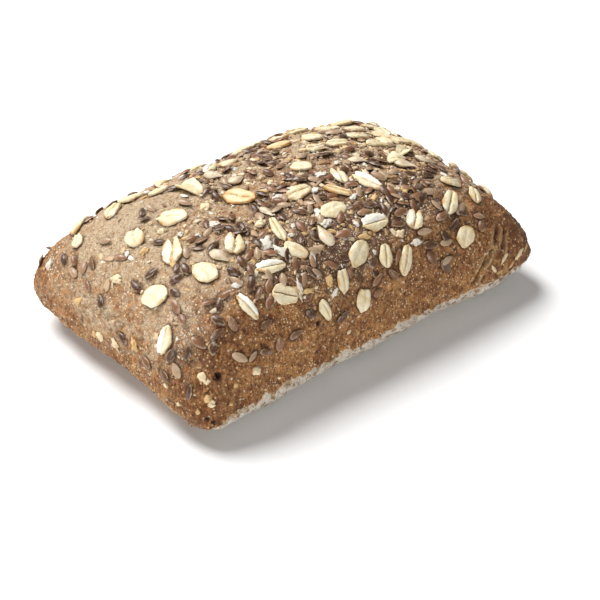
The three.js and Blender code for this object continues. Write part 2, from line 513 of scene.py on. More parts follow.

# Painted shade darkens the hollows, and painted highlights pale the crests
hollows = node(crust_look, "ShaderNodeNewGeometry").outputs["Pointiness"]
shade = limit(crust_look, hollows, 0.5, 0.43)
colour = coat(colour, shade, 0.7, CRUST_DARK_AND_SHADE)
crest = limit(crust_look, hollows, 0.52, 0.6)
# Painted highlights along the ridges raised beside the folds
fold_crest_highlight = attribute_of(crust_look, "crest")
fold_crest_highlight = times(fold_crest_highlight, cloud_of(500, 3, 0.35, 0.55))
colour = coat(colour, fold_crest_highlight, 0.5, BRAN_GOLD_AND_HIGHLIGHT)
colour = coat(colour, crest, 0.45, BRAN_GOLD_AND_HIGHLIGHT)

# Cream grains here and there, which are partly real grain and partly painted glints, and white flour grains
# among the seeds
white_grains = times(grains(crust_look, where, 1600, 0.34, 0.6), limit(crust_look, grainy, 0.1, 0.5))
grains_and_glints = times(grains(crust_look, where, 1300, 0.38, 0.17), limit(crust_look, browned, 0.9, 0.2))
colour = tint(crust_look, grains_and_glints, colour, GRAIN_AND_GLINT_CREAM)
colour = tint(crust_look, white_grains, colour, FLOUR)

# Painted contact shadow round the toppings
contact_shade = attribute_of(crust_look, "contact_shade")
colour = coat(colour, contact_shade, 0.85, CRUST_DARK_AND_SHADE)
# Painted shade fills the pits and the fold grooves, nearly black
pit = attribute_of(crust_look, "pit_shade")
colour = tint(crust_look, pit, colour, PIT_SHADE)

# The flour caked on below the lip
ragged = times(less(speckle_noise(crust_look, where, 700, 5), 0.5), 1.2)
below = limit(crust_look, plus(above_lip, ragged), 0.05, -0.12)
floured = tint(crust_look, cloud_of(500, 5, 0.36, 0.54), BASE_BARE, BASE_FLOUR)
edge_of_flour = times(limit(crust_look, above_lip, -0.5, -0.1), cloud_of(900, 3, 0.4, 0.6))
floured = tint(crust_look, edge_of_flour, floured, BRAN_GOLD_AND_HIGHLIGHT)
colour = coat(colour, below, 0.92, floured)

rough = plus(times(cloud_of(900, 3, 0.3, 0.7), 0.35), 0.42)
grit = plus(speckle_noise(crust_look, where, 1600, 4, 0.7), times(malt, 0.4))
fill(crust_look, crust_shader, {
    "Base Color": colour,
    "Roughness": rough,
    "Specular IOR Level": 0.32,
    "Normal": relief(crust_look, grit, 1.0, 0.9 * MM),
})
loaf.data.materials.append(crust_look)


# ---- Rolled oat flakes -----------------------------------------------------------------------------
# Whole groats steamed and rolled flat, about a millimetre thick, with the groat's crease down the
# middle. They are stuck to the wet dough, some split or broken, with white starch where they broke.

OAT_THICKNESS = 1.15 * MM
OAT_SINK = 0.2 * MM
TOPPING_LEAN = 0.14  # steepest slope of a topping from edge to edge
TOPPING_TILT = 0.08  # and from end to end
OAT_CHALK = (0.80, 0.76, 0.66, 1)

crust_tree = BVHTree.FromPolygons(places_of(loaf).tolist(), [p.vertices[:] for p in loaf.data.polygons])
cad_loaf = frame["nodes"]["loaf"]
dough_tree = BVHTree.FromPolygons(
    [v.co for v in cad_loaf.data.vertices], [p.vertices[:] for p in cad_loaf.data.polygons])


def crust_at(x, y):
    """The point of the crust straight under (x, y), and the direction that the loaf faces there."""
    start = Vector((x, y, 0.1))
    point = crust_tree.ray_cast(start, Vector((0, 0, -1)))[0]
    facing = dough_tree.ray_cast(start, Vector((0, 0, -1)))[1]
    return (point, facing) if point and facing and facing.z > 0.12 else (None, None)


def wave(points, scale, seed):
    """A smooth random height at each point: scale is how fine, and seed picks the pattern."""
    return np.array([noise.noise(Vector((*(point * scale), seed))) for point in points])


def shade_smooth(piece):
    for face in piece.data.polygons:
        face.use_smooth = True


def shape_flake(name, seed, crease=0.3, split=0.0, cut=0.5, ragged=0.08, taper=0.25,
                cup=0.0, bend=0.0, starch=0.0, fold=0.0):
    """A flake one unit long, wide and thick, lying on z = 0 with its length along x."""
    bpy.ops.object.select_all(action="DESELECT")
    bpy.ops.mesh.primitive_uv_sphere_add(segments=40, ring_count=16, radius=0.5)
    flake = bpy.context.object
    flake.name = name
    x, y, z = places_of(flake).T
    angle, radius = np.arctan2(y, x), np.hypot(x, y)
    round_the_edge = np.stack([np.cos(angle), np.sin(angle)], axis=1)
    nicks = ragged * wave(round_the_edge, 4, seed + 7) + 0.6 * ragged * wave(round_the_edge, 9, seed + 2)
    radius = radius * (1 + 0.18 * wave(round_the_edge, 1.2, seed) + nicks)
    x, y = radius * np.cos(angle), radius * np.sin(angle)
    y = y * (1 - taper * x)
    broken = cut + 0.06 * wave(np.stack([y, y], axis=1), 6, seed)
    x = np.where(x > broken, broken + (x - broken) * 0.08, x)
    middle = 0.05 * np.sin(4 * x + seed)
    across = y - middle
    x = x - split * np.exp(-(across / 0.12) ** 2) * smooth_step(x, -0.1, 0.5)
    flat = np.stack([x, y], axis=1)
    inside = np.clip(1 - (2 * x) ** 6, 0, 1)
    in_crease = np.exp(-(across / 0.035) ** 2) * inside
    cheeks = 0.22 * np.exp(-((np.abs(across) - 0.22) / 0.16) ** 2)
    slab = np.sign(z) * 0.5 * np.abs(2 * z) ** 0.55
    surface = 0.22 * wave(flat, 4, seed + 3) + 0.12 * wave(flat, 11, seed + 5)
    height = slab + np.where(z > 0, cheeks - crease * in_crease + surface, 0)
    height = height + cup * (2 * y) ** 2 - bend * (2 * x) ** 2 + fold * smooth_step(y, 0.1, 0.5)
    move_to(flake, np.stack([x, y, height + 0.5], axis=1))
    float_attribute(flake, "crease", in_crease * min(crease * 3, 1))
    float_attribute(flake, "rim", smooth_step(radius, 0.36, 0.5))
    side = smooth_step(across + 0.12 * wave(flat, 5, seed), 0.0, 0.08)
    float_attribute(flake, "starch", starch * side)
    shade_smooth(flake)
    return flake


FLAKES = {
    "round": shape_flake("pattern_round", 1.3, crease=0.08, taper=0.05, ragged=0.07),
    "oval": shape_flake("pattern_oval", 3.9, crease=0.12, taper=0.15, bend=0.2),
    "drop": shape_flake("pattern_drop", 2.4, crease=0.1, taper=-0.7, bend=0.3),
    "petal": shape_flake("pattern_petal", 6.7, crease=0.12, taper=0.45, cup=-0.2, bend=0.3),
    "creased": shape_flake("pattern_creased", 9.2, crease=0.75, taper=0.1, cup=0.15),
    "split": shape_flake("pattern_split", 4.1, crease=0.9, split=0.28, ragged=0.1, starch=0.6, cup=0.15),
    "half": shape_flake("pattern_half", 12.6, crease=0.8, ragged=0.13, starch=1.0, taper=0.3, fold=0.3),
    "cut": shape_flake("pattern_cut", 5.5, crease=0.1, cut=0.3, taper=0.1, bend=0.2),
    "strip": shape_flake("pattern_strip", 8.4, crease=0.4, cut=0.36, ragged=0.16, taper=0.5, starch=0.4,
                         bend=-0.3),
    "curled": shape_flake("pattern_curled", 7.7, crease=0.3, cup=1.3, bend=0.6, ragged=0.1, starch=0.2),
}
FLAKE_KINDS = [  # in the order of the CAD nodes' names
    "round", "split", "drop", "oval", "half", "curled", "oval", "petal", "oval", "curled",
    "split", "strip", "half", "petal", "creased", "half", "petal", "cut", "cut", "round",
    "creased", "creased", "half", "round", "creased", "oval", "split", "half", "split", "creased",
    "oval", "creased", "round", "creased", "petal", "creased", "oval", "curled", "petal", "petal",
    "creased", "oval", "petal", "drop", "creased", "creased", "oval", "petal",
]


def lie_of(node_name):
    """How a topping's CAD solid lies: its middle, its turn as a matrix, and its length and width."""
    points = np.array([v.co[:] for v in frame["nodes"][node_name].data.vertices])
    spread_out = points - points.mean(axis=0)
    _, axes = np.linalg.eigh(spread_out.T @ spread_out)
    outward, across, along = axes.T
    if outward @ points.mean(axis=0) < 0:
        outward = -outward
    if along[0] < 0:
        along = -along
    across = np.cross(outward, along)
    turn = np.stack([along, across, outward], axis=1)
    local = points @ turn
    middle = turn @ ((local.min(axis=0) + local.max(axis=0)) / 2)
    size = local.max(axis=0) - local.min(axis=0)
    return middle, turn, size


def settle(piece, middle, turn, size, sink):
    """Gives a topping its real size and lays it on the crust, bent to the crust's own curve there."""
    reach = 6 * MM
    grid = [(u, v) for u in np.linspace(-0.42, 0.42, 7) for v in np.linspace(-0.42, 0.42, 5)]
    rows, heights = [], []
    for u, v in grid:
        above = middle + turn @ np.array([u * size[0], v * size[1], reach])
        hit = crust_tree.ray_cast(Vector(above), Vector(-turn[:, 2]), 2 * reach)
        if hit[0] is None:
            continue
        rows.append([1, u, v, u * u, u * v, v * v])
        heights.append(reach - hit[3])
    rows, heights = np.array(rows), np.array(heights)
    curve = np.linalg.lstsq(rows, heights, rcond=None)[0]
    proud = np.percentile(heights - rows @ curve, 80)
    x, y, z = places_of(piece).T
    bed = np.stack([np.ones(len(x)), x, y, x * x, x * y, y * y], axis=1) @ curve
    # None lies quite flat: each leans a little on one edge, by an amount that its place decides
    lean = TOPPING_LEAN * math.sin(5000 * middle[0] + 3000 * middle[1])
    tilt = TOPPING_TILT * math.sin(2000 * middle[0] - 7000 * middle[1])
    bed = bed + lean * y * size[1] + tilt * x * size[0] + 0.25 * abs(lean) * size[1]
    local = np.stack([x * size[0], y * size[1], z * size[2] + bed + proud - sink], axis=1)
    move_to(piece, middle + local @ turn.T)


def pattern_copy(pattern, name):
    piece = pattern.copy()
    piece.data = pattern.data.copy()
    piece.name = name
    bpy.context.scene.collection.objects.link(piece)
    return piece


def oat_look(name, pale, deep, edge, toasting):
    """Clouded cream with a browned rim and crease. toasting is how far the brown runs in."""
    material, shader = new_material(name)
    spot = place_on(material)
    crease = attribute_of(material, "crease")
    rim = attribute_of(material, "rim")
    starch = attribute_of(material, "starch")
    cloud = limit(material, speckle_noise(material, spot, 330, 4), 0.40, 0.66)
    flake_colour = tint(material, cloud, pale, deep)
    fibre = limit(material, speckle_noise(material, spot, 1300, 3), 0.5, 0.72)
    flake_colour = wash(material, fibre, 0.3, flake_colour, edge)
    toast = limit(material, speckle_noise(material, spot, 240, 3), 0.55 - toasting, 0.75 - toasting)
    toasted_rim = reckon(material, "MULTIPLY", reckon(material, "ADD", rim, toasting), toast)
    flake_colour = wash(material, toasted_rim, 0.85, flake_colour, edge)
    broken_line = limit(material, speckle_noise(material, spot, 700, 2), 0.25, 0.5)
    husk = reckon(material, "MULTIPLY", crease, broken_line)
    flake_colour = wash(material, husk, 0.8, flake_colour, edge)
    chalky = reckon(material, "ADD", starch, speckle_noise(material, spot, 600, 4))
    flake_colour = tint(material, limit(material, chalky, 1.0, 1.25), flake_colour, OAT_CHALK)
    fill(material, shader, {
        "Base Color": flake_colour,
        "Roughness": 0.5,
        "Specular IOR Level": 0.4,
        "Subsurface Weight": 0.08,
        "Subsurface Radius": (1.0, 0.7, 0.4),
        "Subsurface Scale": 0.6 * MM,
        "Normal": relief(material, speckle_noise(material, spot, 1500, 4), 0.5, 0.3 * MM),
    })
    return material


pale_oat = oat_look("pale_oat", (0.77, 0.69, 0.49, 1), (0.70, 0.57, 0.33, 1), (0.50, 0.29, 0.10, 1), 0.12)
toasted_oat = oat_look(
    "toasted_oat", (0.80, 0.66, 0.41, 1), (0.70, 0.50, 0.24, 1), (0.48, 0.25, 0.07, 1), 0.2)

MORE_FLAKES = [  # the smaller ones: [x, y in mm, turn in degrees, length, width in mm, shape]
    (12.6, 30.4, -35, 7.5, 3.8, "petal"), (16.7, 23.5, -60, 7.5, 3.4, "strip"),
    (5.9, 28.3, 10, 7, 4.2, "oval"),
    (24.5, 24.7, -20, 7, 4, "creased"), (34.7, 22, -30, 8, 4.6, "oval"), (47.5, 10, -75, 9, 4.6, "petal"),
    (49.5, 4, -45, 7, 4, "creased"), (26.2, 7.3, -30, 7, 3.4, "creased"), (38.2, 2.1, -20, 8, 3.6, "oval"),
    (36, -9.5, -30, 6.4, 5, "curled"), (19, 8.5, -10, 7, 3.2, "strip"), (-44, 26, 20, 7, 4, "creased"),
    (-30, 22, -10, 7, 4.4, "oval"), (-5.5, 20, 0, 7, 4, "petal"), (-12, 20.5, 30, 6.4, 3.6, "half"),
    (50, 18.5, -60, 7, 4, "oval"), (56, -5, 80, 7, 4.4, "round"), (-24, 30, 40, 6.6, 4.2, "drop"),
    (2, 38.5, 10, 7, 4.4, "oval"), (-38, 37.5, -20, 7, 4.2, "creased"), (19, 39.5, 60, 6.6, 4, "petal"),
    (41, 35.5, -15, 7, 4.4, "round"), (-56, 27, 50, 6, 3.4, "strip"), (60, 16, 75, 7, 4, "creased"),
    (62.5, -22, 80, 8, 4.6, "petal"), (61.5, -13, -70, 7, 4.2, "oval"),
]


def lie_on(facing, turn):
    """The turn that lays a thing along the crust's slope and spins it by turn about the normal."""
    return Vector((0, 0, 1)).rotation_difference(facing).to_matrix() @ Matrix.Rotation(turn, 3, "Z")


def loose_flake(x, y, degrees, length, width, kind):
    """Lays one flake on the crust at (x, y)."""
    point, facing = crust_at(x * MM, y * MM)
    flake = pattern_copy(FLAKES[kind], "loose_flake")
    middle, turn = np.array(point), np.array(lie_on(facing, math.radians(degrees)))
    size = np.array((length * MM, width * MM, OAT_THICKNESS))
    settle(flake, middle, turn, size, OAT_SINK)
    footprints.append((middle, turn, size))
    return flake


def join_all(pieces, name):
    bpy.ops.object.select_all(action="DESELECT")
    for piece in pieces:
        piece.select_set(True)
    bpy.context.view_layer.objects.active = pieces[0]
    bpy.ops.object.join()
    joined = bpy.context.object
    joined.name = name
    return joined


footprints = []  # the middle, turn and size of every flake and kernel laid so far
oat_nodes = sorted(n for n in frame["nodes"] if "oat_flake" in n)
for kind, node_name in zip(FLAKE_KINDS, oat_nodes):
    flake = pattern_copy(FLAKES[kind], node_name + "_rolled")
    middle, turn, size = lie_of(node_name)
    settle(flake, middle, turn, (size[0], size[1], OAT_THICKNESS), OAT_SINK)
    footprints.append((middle, turn, size))
    toasted = node_name.startswith("toasted")
    flake.data.materials.append(toasted_oat if toasted else pale_oat)
    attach(flake, "root")
    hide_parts(node_name)
loose_flakes = join_all([loose_flake(*flake) for flake in MORE_FLAKES], "loose_flakes_rolled")
loose_flakes.data.materials.append(pale_oat)
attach(loose_flakes, "root")
for pattern in FLAKES.values():
    bpy.data.objects.remove(pattern)


# ---- Sunflower kernels -----------------------------------------------------------------------------
# Hulled sunflower kernels: flat grey-beige drops, blunt at one end and pointed at the other, with
# faint ridges along them. They lie on their flat side, sunk a little into the crust.

KERNEL_SINK = 0.4 * MM
KERNEL_SHADE = (0.46, 0.35, 0.22, 1)
KERNEL_CREAM = (0.70, 0.60, 0.44, 1)
KERNEL_AMBER = (0.55, 0.32, 0.11, 1)
KERNEL_SPECK = (0.2, 0.13, 0.08, 1)

bpy.ops.object.select_all(action="DESELECT")
bpy.ops.mesh.primitive_uv_sphere_add(segments=32, ring_count=20, radius=0.5)
kernel_pattern = bpy.context.object
x, y, z = places_of(kernel_pattern).T
drop = 1 - 0.6 * smooth_step(x, -0.15, 0.5)
ridged = 1 + 0.03 * np.cos(11 * np.arctan2(z, y)) + 0.05 * wave(np.stack([x, y], axis=1), 3, 2.2)
ledge = 0.1 * smooth_step(np.abs(y) / np.maximum(drop, 0.1), 0.25, 0.42)
flattened = (z - np.sign(z) * ledge) * drop * ridged + 0.5
move_to(kernel_pattern, np.stack([x, y * drop * ridged, flattened], axis=1))
shade_smooth(kernel_pattern)

kernel_look, kernel_shader = new_material("sunflower_kernel")
spot = place_on(kernel_look)
kernel_cloud = limit(kernel_look, speckle_noise(kernel_look, spot, 300, 4), 0.35, 0.65)
kernel_colour = tint(kernel_look, kernel_cloud, KERNEL_SHADE, KERNEL_CREAM)
amber = limit(kernel_look, speckle_noise(kernel_look, spot, 150, 2), 0.55, 0.7)
kernel_colour = wash(kernel_look, amber, 0.55, kernel_colour, KERNEL_AMBER)
kernel_spots = grains(kernel_look, spot, 900, 0.35, 0.25)
kernel_colour = wash(kernel_look, kernel_spots, 0.4, kernel_colour, KERNEL_SPECK)
fill(kernel_look, kernel_shader, {
    "Base Color": kernel_colour,
    "Roughness": 0.42,
    "Normal": relief(kernel_look, speckle_noise(kernel_look, spot, 1100, 3), 0.4, 0.3 * MM),
})

for node_name in sorted(n for n in frame["nodes"] if n.startswith("sunflower_kernel")):
    kernel = pattern_copy(kernel_pattern, node_name + "_hulled")
    middle, turn, size = lie_of(node_name)
    settle(kernel, middle, turn, size, KERNEL_SINK)
    footprints.append((middle, turn, size))
    kernel.data.materials.append(kernel_look)
    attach(kernel, "root")
    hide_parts(node_name)
bpy.data.objects.remove(kernel_pattern)


# ---- Linseeds --------------------------------------------------------------------------------------
# Brown linseeds: flat pointed ovals with a shiny skin and a thin rim. They are strewn thickly over the
# middle and thinly at the left end, and lie as they fell, some tipped on a neighbour or half sunk.

LINSEED_SIZE = Vector((5.0, 2.5, 1.15)) * MM
LINSEED_CROWDING = 1.9 * MM  # least distance between the middles of two scattered seeds
LINSEED_DARK = (0.050, 0.021, 0.010, 1)
LINSEED_BROWN = (0.225, 0.100, 0.044, 1)
LINSEED_PALE = (0.38, 0.265, 0.165, 1)
LINSEED_PORE = (0.30, 0.17, 0.09, 1)
LINSEED_RIM_HIGHLIGHT = (0.55, 0.40, 0.26, 1)
LINSEED_POWDER = (0.50, 0.42, 0.34, 1)
LONE_LINSEEDS = [  # [x, y in mm, turn about the crust's normal in degrees]
    (-58.6, 15.8, 55), (-60.5, 17.5, 40), (-63, 12, 62), (-60.5, 22.5, 58), (-61.5, 27, 55), (-62.5, 20, 70),
    (-62, 39, 20), (-57, 42, 60), (-55.4, 26, -10), (-55, 31.5, 40), (-54, 7.6, -62), (-52.5, 17.5, -60),
    (-38, 14.9, -88), (-40.3, 15.9, 50), (-42, 12.7, -30), (-44, 2, -50), (-52, -5, -10), (-49.2, -13.2, -15),
    (-45.8, -13, 80), (-42, -8, 60), (-46.6, -9.6, 40), (-38, -5.5, -20), (-37, -8.6, -5), (-30, 9, -70),
    (-63.3, 4.8, 45), (-56.3, -3.8, 85), (-52.1, -16.4, -85), (-54.7, -20.2, 70), (-58.5, -13, 60),
    (-55.5, -24.3, 75), (-64, -6.3, 70), (-65.5, -9, -60), (-64, -18, 75), (-48.2, -26.7, -20),
    (-46.5, -29, 40), (-43.8, -27.9, -15), (-49.2, -32.4, -70), (-46.2, -34.8, 85), (-48, -40, -50),
    (-55.4, -31.9, -80), (-53.3, -35.5, 50), (-51, -34.2, 5), (-58.5, -31, 20), (-61.2, -27, 0),
    (-61.6, -35.4, 20), (-64.5, -33, 50), (62, -19, 80), (63.5, -21, 50), (61.5, -22, 10), (3, -38.7, -40),
    (5.5, -37, 10), (24, -38, -20), (29, -40.5, 5), (31, -37.5, -60), (24, -35.5, -10), (37, -34.5, -40),
    (33, -31, -80), (41, -33, 30), (46, -36, -30), (-44, -41, 20), (-40, -41.5, -25), (-35, -41, 75),
    (-37, -38, 10), (57, -25, 60), (52, -23, 85), (54, -18, 20), (57, -14, 80),
    (2.7, -39.1, 50), (1.8, -40.4, 20), (8.5, -39.6, -60), (3.1, -36.6, 30), (-21.3, -37, 20),
    (-22.1, -39.5, -40), (-28.9, -41, 10), (23.1, -39.8, -80), (28.2, -40.8, -70), (32.7, -33.5, 10),
    (40, -34.8, -20), (35.8, -36, 30), (30.5, -38.5, -5), (45.3, -37.8, 60), (-62, -30, 60),
    (-63.5, -26, 80), (-12, -41.3, 30),
]
LINSEED_PATCHES = [  # [x, y, reach along, reach across, how many] in mm
    [-14, -26, 24, 9, 56], [20, -23, 15, 10, 64], [2, -35, 12, 5, 8], [-28, -12, 12, 9, 34],
    [-10, 14, 26, 11, 56], [-2, -9, 17, 9, 56], [24, -9, 12, 8, 36], [-34, -27, 10, 9, 20],
    [30, 9, 18, 12, 32], [54, 4, 8, 16, 10], [-20, 34, 30, 8, 34], [22, 34, 28, 8, 34],
    [56, 22, 8, 14, 14], [4, 24, 20, 8, 30], [40, -20, 10, 8, 20],
]


def under_topping(point, margin):
    """Whether a flake or kernel already lies at this point of the crust."""
    for middle, turn, size in footprints:
        local = (np.array(point) - middle) @ turn
        along = local[0] / (size[0] / 2 + margin)
        across = local[1] / (size[1] / 2 + margin)
        if abs(local[2]) < 5 * MM and along ** 2 + across ** 2 < 1:
            return True
    return False


def spots_in(patches, draw):
    """Random places inside the patches, thinning out towards their edges."""
    for x, y, along, across, count in patches:
        for _ in range(count):
            angle, reach = draw.uniform(0, 2 * math.pi), draw.uniform(0, 1) ** 0.6
            yield (x + along * reach * math.cos(angle)) * MM, (y + across * reach * math.sin(angle)) * MM


bpy.ops.object.select_all(action="DESELECT")
bpy.ops.mesh.primitive_uv_sphere_add(segments=14, ring_count=8, radius=0.5)
linseed_pattern = bpy.context.object
x, y, z = places_of(linseed_pattern).T
tip = 1 - 0.35 * smooth_step(x, 0.0, 0.5)
lens = np.sign(z) * 0.5 * (1 - (2 * np.hypot(x, y)) ** 2.2)
move_to(linseed_pattern, np.stack([x, y * tip, lens * tip], axis=1))
float_attribute(linseed_pattern, "edge", smooth_step(np.hypot(x, y), 0.4, 0.5))
shade_smooth(linseed_pattern)

draw = random.Random(11)
linseeds = []
taken = []  # where a seed already lies


def lay_linseed(x, y, turn, crowding):
    """Puts one seed on the crust, unless it would lie on a flake or on top of another seed."""
    point, facing = crust_at(x, y)
    if point is None or under_topping(point, 0.5 * MM):
        return
    if any((point - other).length < crowding for other in taken):
        return
    taken.append(point)
    seed = pattern_copy(linseed_pattern, "linseed")
    size = LINSEED_SIZE * draw.uniform(0.8, 1.08)
    tipped = Matrix.Rotation(draw.gauss(0, 0.3), 4, "X") @ Matrix.Rotation(draw.gauss(0, 0.16), 4, "Y")
    lie = lie_on(facing, turn).to_4x4()
    lift = Matrix.Translation(point + facing * size.z * draw.uniform(0.3, 0.75))
    seed.data.transform(lift @ lie @ tipped @ Matrix.Diagonal(size).to_4x4())
    float_attribute(seed, "tone", np.full(len(seed.data.vertices), draw.random()))
    linseeds.append(seed)


for x, y, turn in LONE_LINSEEDS:
    lay_linseed(x * MM, y * MM, math.radians(turn), 0.5 * MM)
for x, y in spots_in(LINSEED_PATCHES, draw):
    lay_linseed(x, y, draw.uniform(0, 2 * math.pi), LINSEED_CROWDING)
linseed = join_all(linseeds, "linseeds")
bpy.data.objects.remove(linseed_pattern)

linseed_look, linseed_shader = new_material("linseed")
spot = place_on(linseed_look)
tone = attribute_of(linseed_look, "tone")
edge = attribute_of(linseed_look, "edge")
seed_colour = tint(linseed_look, limit(linseed_look, tone, 0.15, 0.85), LINSEED_DARK, LINSEED_BROWN)
seed_colour = tint(linseed_look, limit(linseed_look, tone, 0.74, 0.88), seed_colour, LINSEED_PALE)
pores = limit(linseed_look, speckle_noise(linseed_look, spot, 1500, 3), 0.4, 0.7)
seed_colour = wash(linseed_look, pores, 0.3, seed_colour, LINSEED_PORE)
# Painted highlight along the thin rim, broken into patches
broken_rim_light = limit(linseed_look, speckle_noise(linseed_look, spot, 500, 3), 0.4, 0.6)
rim_highlight = reckon(linseed_look, "MULTIPLY", broken_rim_light, edge)
seed_colour = wash(linseed_look, rim_highlight, 0.75, seed_colour, LINSEED_RIM_HIGHLIGHT)
powder = limit(linseed_look, speckle_noise(linseed_look, spot, 420, 5), 0.55, 0.70)
seed_colour = wash(linseed_look, powder, 0.45, seed_colour, LINSEED_POWDER)
linseed_finish = {"Base Color": seed_colour, "Roughness": 0.34, "Specular IOR Level": 0.4}
fill(linseed_look, linseed_shader, linseed_finish)
linseed.data.materials.append(linseed_look)
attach(linseed, "root")

# Painted contact shadow: the crust is darkened in a narrow band round everything that was pressed into it
CONTACT_SHADE_NEAR, CONTACT_SHADE_FAR = 0.2 * MM, 0.95 * MM
pressed_in = [p for p in bpy.data.objects if p.name.endswith(("_rolled", "_hulled")) or p is linseed]
skins = np.concatenate([places_of(piece) for piece in pressed_in])
tree = KDTree(len(skins))
for i, place in enumerate(skins):
    tree.insert(place, i)
tree.balance()
gaps = np.array([tree.find(place)[2] for place in places_of(loaf)])
float_attribute(loaf, "contact_shade", 1 - smooth_step(gaps, CONTACT_SHADE_NEAR, CONTACT_SHADE_FAR))


# ---- Crumbs ----------------------------------------------------------------------------------------
# What came off the flakes and the grain: golden and cream crumbs, splinters of oat, bits of bran and
# ragged white lumps of starch. They are caught between the seeds all over the top.

CRUMB_PATCHES = [  # fine crumbs: [x, y, reach along, reach across, how many] in mm
    [0, -8, 44, 30, 900], [-14, -28, 28, 12, 260], [22, -20, 22, 16, 260], [-56, -8, 9, 30, 90],
    [-38, 10, 16, 20, 110], [30, 14, 26, 20, 260], [0, 30, 50, 10, 140], [54, 0, 9, 30, 90],
    [44, -2, 12, 20, 200],
]
CHIP_PATCHES = [  # larger chips, in the same way
    [0, -8, 40, 26, 130], [-14, -28, 26, 11, 44], [22, -20, 22, 14, 50], [-52, -8, 12, 28, 14],
    [30, 14, 26, 20, 60], [-8, 12, 24, 14, 40], [0, 30, 50, 10, 44], [44, -4, 14, 18, 40],
]
CRUMB_TINTS = [
    (0.58, 0.38, 0.16), (0.62, 0.46, 0.26), (0.66, 0.55, 0.38), (0.34, 0.19, 0.09), (0.48, 0.33, 0.20),
    (0.20, 0.10, 0.05), (0.70, 0.66, 0.58), (0.42, 0.27, 0.15),
]
STARCH = (0.66, 0.61, 0.52)
CREAM = (0.70, 0.57, 0.36)
AMBER = (0.56, 0.36, 0.15)
CRUMB_SHADE = (0.45, 0.28, 0.12, 1)
NAMED_BITS = [  # [x, y, length, breadth in mm, turn in degrees, colour]
    (-23.5, -21.5, 5, 4, 20, STARCH), (-21.5, -25.5, 5.5, 3, -60, STARCH),
    (-3.5, -23.5, 4.5, 3.5, 30, STARCH),
    (9, -5.5, 4.5, 3.4, 0, STARCH), (36.5, 2.5, 4, 2, 10, STARCH), (20, -37, 4, 2, -10, STARCH),
    (-30, -6, 5, 2.6, -60, STARCH), (-63, 33, 3.6, 2.4, 0, STARCH), (-22.5, -35, 5, 1.6, 85, STARCH),
    (-12.5, -38.5, 3.6, 1.4, 30, STARCH), (-63.5, -11.5, 4.5, 3.6, 40, AMBER), (-65, -4, 5, 2.3, 60, CREAM),
    (-58, 4, 4.3, 2.8, -60, CREAM), (16, -34, 3.5, 2, 0, CREAM),
    (-27, 3, 5, 3.2, 30, CREAM), (-65.5, 14, 3, 2.4, 0, AMBER), (-49, 3, 3, 2, 0, AMBER),
    (-58.5, -41, 2.6, 2, 30, CREAM), (-61.5, -41, 2.2, 1.8, 60, AMBER), (-30, -13, 2.6, 2, 0, CREAM),
    (-20, -14, 3.4, 3, 20, CREAM), (-46, -7, 4.5, 2.4, 50, AMBER), (-41, 5, 3.2, 2, -30, CREAM),
    (-39, -1, 2.4, 1.8, 0, STARCH), (-5, 10, 3, 2.4, 0, CREAM),
]
SIDE_BITS = [  # on the steep sides: [x, y, z, length, breadth in mm, turn in degrees, colour]
    (46.6, -43.5, 14.4, 3.6, 1.0, -60, CREAM), (51, -43, 16, 4.2, 1.2, 40, CREAM),
    (57.4, -42.6, 14.5, 4.8, 1.3, 35, CREAM), (54, -43, 12.5, 2.6, 0.9, 45, AMBER),
    (49, -43, 12, 2.4, 0.8, 10, AMBER), (60.5, -41.5, 15, 3.0, 0.8, 50, AMBER),
    (-59.2, -40, 16.1, 2.6, 2.2, 20, AMBER), (-58.6, -37, 21.6, 2.8, 2.2, 60, CREAM),
    (-57.8, -38.2, 20.4, 1.8, 1.4, 0, CREAM), (-64, -27, 15, 1.8, 1.2, 80, CREAM),
    (-44, -42.5, 20, 2.8, 2.4, 10, CREAM), (-28, -43, 19, 1.6, 1.1, 10, AMBER),
    (-51, -42, 18, 1.4, 1.2, 0, AMBER), (-53, -42.5, 13, 1.3, 1.0, 0, AMBER),
    (-62, -39, 12, 1.4, 1.2, 0, AMBER), (-65, -33, 12, 1.2, 1.0, 0, CREAM),
    (-67, 2, 16, 3.0, 1.8, 70, CREAM), (-67, 5, 15, 2.2, 1.6, 20, AMBER),
    (-36, -43.5, 14, 1.3, 1.0, 0, CREAM), (-10, -42, 17, 1.4, 1.0, 30, CREAM),
    (20, -42, 15, 1.2, 0.9, 0, AMBER), (-10, 43.5, 22, 2.4, 1.8, 0, CREAM),
    (15, 43, 26, 3.0, 2.0, 40, AMBER), (-35, 43, 25, 2.6, 1.8, -30, CREAM),
    (66, 12, 22, 2.8, 2.0, 20, CREAM), (66, -6, 18, 2.0, 1.4, 0, AMBER), (40, 43, 18, 1.8, 1.4, 0, AMBER),
]

bpy.ops.object.select_all(action="DESELECT")
bpy.ops.mesh.primitive_ico_sphere_add(subdivisions=1, radius=0.5)
crumb_pattern = bpy.context.object
bpy.ops.object.select_all(action="DESELECT")
bpy.ops.mesh.primitive_ico_sphere_add(subdivisions=3, radius=0.5)
chip_pattern = bpy.context.object
shade_smooth(chip_pattern)
crumbs = []


def lay_crumb(pattern, place, turn, size, colour, rough, lift):
    """Puts one crumb at a point of the crust. rough is how uneven it is, lift how far out it sits."""
    point, facing = place
    if point is None:
        return
    crumb = pattern_copy(pattern, "crumb")
    places = places_of(crumb)
    shift = Vector((draw.uniform(0, 50), 0, 0))
    bumps = np.array([noise.noise(Vector(place) * 3.1 + shift) for place in places])
    places *= (1 + rough * bumps)[:, None]
    move_to(crumb, places)
    lie = lie_on(facing, turn).to_4x4()
    tipped = Matrix.Rotation(draw.gauss(0, 0.25), 4, "X")
    out = Matrix.Translation(point + facing * size.z * lift)
    crumb.data.transform(out @ lie @ tipped @ Matrix.Diagonal(size).to_4x4())
    paint = crumb.data.color_attributes.new("tint", "FLOAT_COLOR", "POINT")
    paint.data.foreach_set("color", [*colour, 1.0] * len(crumb.data.vertices))
    crumbs.append(crumb)


